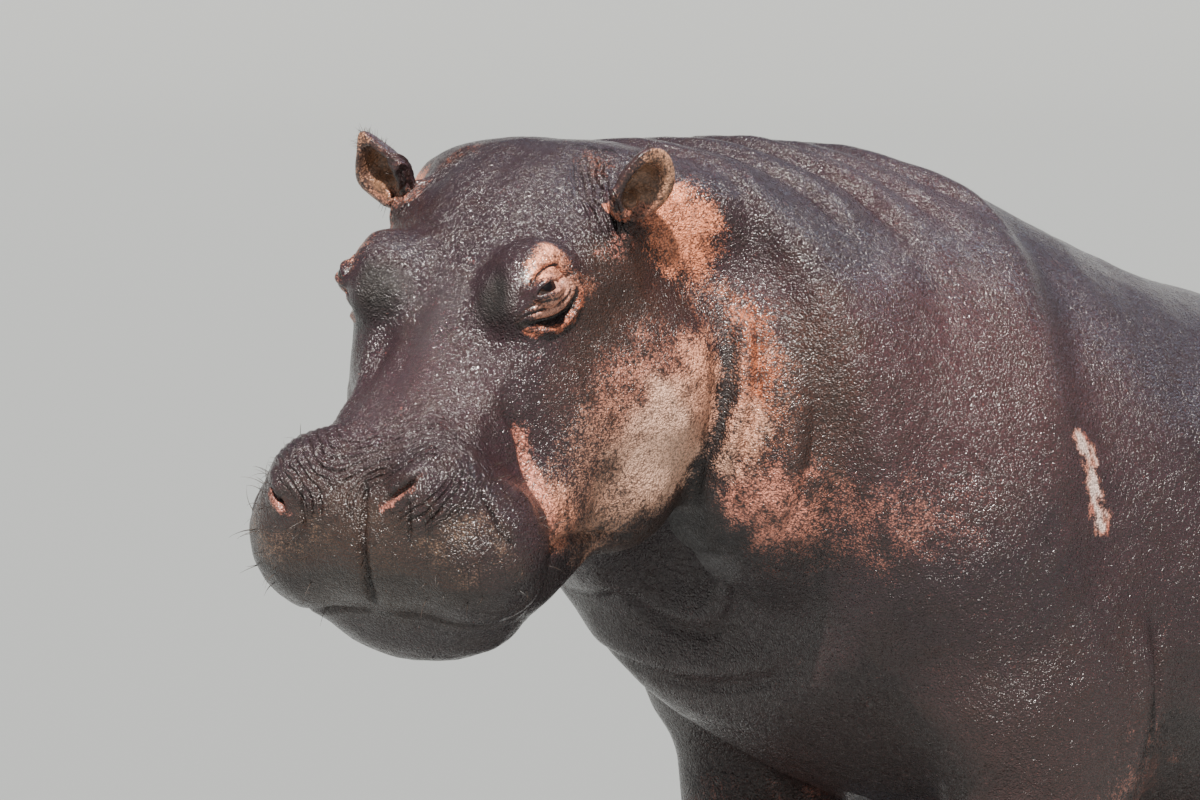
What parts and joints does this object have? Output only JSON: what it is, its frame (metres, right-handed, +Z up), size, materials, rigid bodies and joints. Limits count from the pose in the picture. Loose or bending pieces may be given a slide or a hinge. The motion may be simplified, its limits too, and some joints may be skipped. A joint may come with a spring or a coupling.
{
  "type": "hippopotamus",
  "caption": "Life-size adult hippopotamus, standing with its head low and turned to its left: a still museum-type animal model.",
  "frame": {"origin": "on the floor, under the middle of the animal's bounding box", "axes": "-Y ahead, +X the animal's left, +Z up"},
  "size_m": [1.1894, 3.4234, 1.5386],
  "materials": {
    "hide": "wet dark purple-brown hide with pinkish folds",
    "ear_hide": "brownish pink ear skin",
    "eye": "wet dark brown eye",
    "nail": "dull dark horn"
  },
  "bodies": {
    "root": {"head": "hide", "lower_jaw": "hide", "neck": "hide", "trunk": "hide", "tail": "hide", "foreleg_left": "hide", "foreleg_right": "hide", "hindleg_left": "hide", "hindleg_right": "hide", "forefoot_left": "hide", "forefoot_right": "hide", "hindfoot_left": "hide", "hindfoot_right": "hide", "ear_left": "ear_hide", "ear_right": "ear_hide", "eye_left": "eye", "eye_right": "eye", "nail_forefoot_left_1": "nail", "nail_forefoot_left_2": "nail", "nail_forefoot_left_3": "nail", "nail_forefoot_left_4": "nail", "nail_forefoot_right_1": "nail", "nail_forefoot_right_2": "nail", "nail_forefoot_right_3": "nail", "nail_forefoot_right_4": "nail", "nail_hindfoot_left_1": "nail", "nail_hindfoot_left_2": "nail", "nail_hindfoot_left_3": "nail", "nail_hindfoot_left_4": "nail", "nail_hindfoot_right_1": "nail", "nail_hindfoot_right_2": "nail", "nail_hindfoot_right_3": "nail", "nail_hindfoot_right_4": "nail"}
  },
  "joints": []
}
